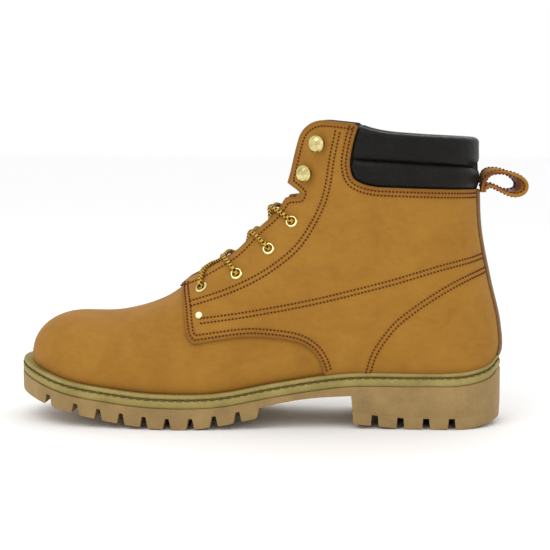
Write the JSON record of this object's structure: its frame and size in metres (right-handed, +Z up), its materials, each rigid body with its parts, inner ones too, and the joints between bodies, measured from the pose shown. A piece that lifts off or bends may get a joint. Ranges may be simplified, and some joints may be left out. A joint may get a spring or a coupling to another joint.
{
  "type": "work boot",
  "caption": "Left lace-up ankle work boot with a steel toe cap, lugged sole with a block heel, padded collar, gusseted tongue and heel pull loop.",
  "frame": {"origin": "centre of the footprint of the bounding box, on the ground plane", "axes": "+X from the toe to the heel, -Y towards the outer side of the foot, +Z up"},
  "size_m": [0.333, 0.1092, 0.1946],
  "materials": {
    "outsole_rubber": "matte moulded rubber",
    "midsole_rubber": "matte moulded rubber",
    "nubuck": "brushed nubuck",
    "dark_leather": "smooth dark brown leather",
    "black_leather": "soft smooth black leather over foam",
    "loop_leather": "brushed leather strap",
    "steel": "pressed steel",
    "cork": "cork",
    "fibreboard": "pressed fibre board",
    "foam": "open foam",
    "lining_fabric": "brushed knit",
    "drill_fabric": "cotton drill",
    "footbed_foam": "foam under knit",
    "edge_plastic": "matte plastic",
    "brass": "polished pale brass",
    "lace_cord": "round braid, gold with dark flecks",
    "aglet_plastic": "clear dark film"
  },
  "bodies": {
    "boot": {"outsole": "outsole_rubber", "midsole": "midsole_rubber", "welt": "midsole_rubber", "cork_filler": "cork", "shank": "steel", "insole_board": "fibreboard", "footbed": "footbed_foam", "vamp": "nubuck", "quarter_lateral": "nubuck", "quarter_medial": "nubuck", "backstay": "dark_leather", "collar_pad": "black_leather", "steel_toe_cap": "steel", "toe_cap_edge_strip": "edge_plastic", "heel_counter": "fibreboard", "ankle_padding_lateral": "foam", "ankle_padding_medial": "foam", "vamp_lining": "drill_fabric", "quarter_lining_lateral": "lining_fabric", "quarter_lining_medial": "lining_fabric", "eyestay_facing_lateral": "nubuck", "eyestay_facing_medial": "nubuck", "tongue_gusset_lateral": "nubuck", "tongue_gusset_medial": "nubuck", "eyelets_lateral": "brass", "eyelets_medial": "brass", "lacing_studs_lateral": "brass", "lacing_studs_medial": "brass", "quarter_rivets": "brass", "lace_run": "lace_cord", "lace_end_lateral": "lace_cord", "lace_end_medial": "lace_cord", "aglets": "aglet_plastic"},
    "tongue": {"tongue": "nubuck"},
    "pull_loop": {"pull_loop": "loop_leather"}
  },
  "joints": [
    {"name": "tongue_fold", "type": "hinge", "parent": "boot", "child": "tongue", "pos_m": [-0.051, 0, 0.085], "axis": [0, 1, 0], "range_deg": [0, 10], "stiffness_Nm_per_rad": 0.3, "springref_deg": -14.32, "deforming": ["tongue_gusset_lateral", "tongue_gusset_medial"]},
    {"name": "pull_loop_flex", "type": "hinge", "parent": "boot", "child": "pull_loop", "pos_m": [0.1355, 0, 0.1505], "axis": [0, 1, 0], "range_deg": [-4, 60], "stiffness_Nm_per_rad": 0.03}
  ]
}
